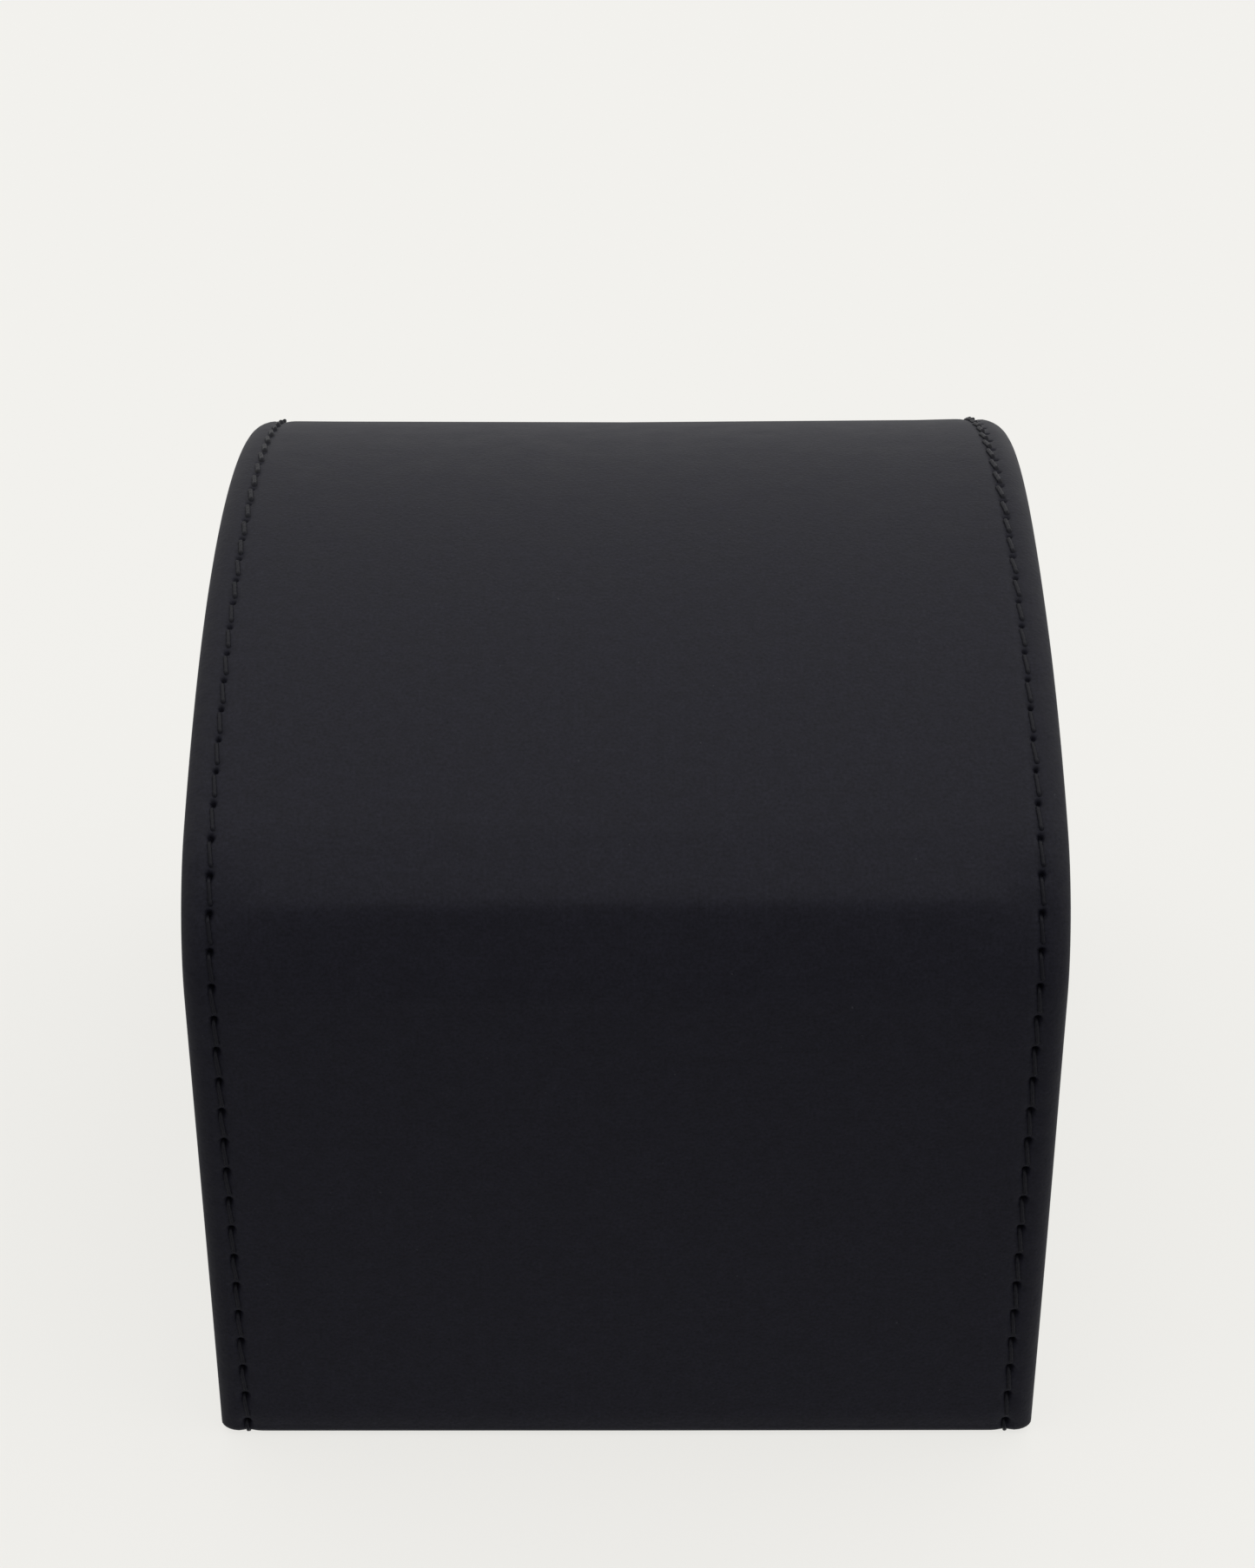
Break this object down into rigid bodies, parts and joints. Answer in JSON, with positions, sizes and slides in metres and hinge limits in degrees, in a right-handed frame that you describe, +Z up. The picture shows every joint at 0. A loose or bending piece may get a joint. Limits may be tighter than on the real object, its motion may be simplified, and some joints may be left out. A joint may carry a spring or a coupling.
{
  "type": "lidded leather dice cup",
  "caption": "Box-shaped leather dice cup with a domed, leather-hinged lid, stitched side edges and a suede-lined inside.",
  "frame": {"origin": "centre of the flat underside", "axes": "+Z up, X across the width, the hinged rear wall faces -Y and the closing front wall faces +Y"},
  "size_m": [0.085, 0.102, 0.0814],
  "materials": {
    "leather": "smooth matte, very fine grain",
    "seam_thread": "waxed twisted thread",
    "suede": "soft short nap",
    "greyboard": "uncoated board",
    "magnet": "nickel plated"
  },
  "bodies": {
    "cup": {"rear_base_leather": "leather", "front_leather": "leather", "hinge_fold_leather": "leather", "cup_left_leather": "leather", "cup_right_leather": "leather", "rear_board": "greyboard", "front_board": "greyboard", "base_board": "greyboard", "cup_left_board": "greyboard", "cup_right_board": "greyboard", "rear_lining": "suede", "front_lining": "suede", "cup_left_lining": "suede", "cup_right_lining": "suede", "base_pad": "suede", "cup_rim_facing": "leather", "cup_magnets": "magnet", "cup_left_thread": "seam_thread", "cup_right_thread": "seam_thread"},
    "lid": {"lid_leather": "leather", "lid_left_leather": "leather", "lid_right_leather": "leather", "lid_dome_board": "greyboard", "lid_left_board": "greyboard", "lid_right_board": "greyboard", "lid_dome_lining": "suede", "lid_left_lining": "suede", "lid_right_lining": "suede", "lid_rim_facing": "leather", "lid_magnets": "magnet", "lid_left_thread": "seam_thread", "lid_right_thread": "seam_thread"}
  },
  "joints": [
    {"name": "lid_hinge", "type": "hinge", "parent": "cup", "child": "lid", "pos_m": [0, -0.04765, 0.06567], "axis": [1, 0, 0], "range_deg": [0, 110], "deforming": ["hinge_fold_leather"]}
  ]
}
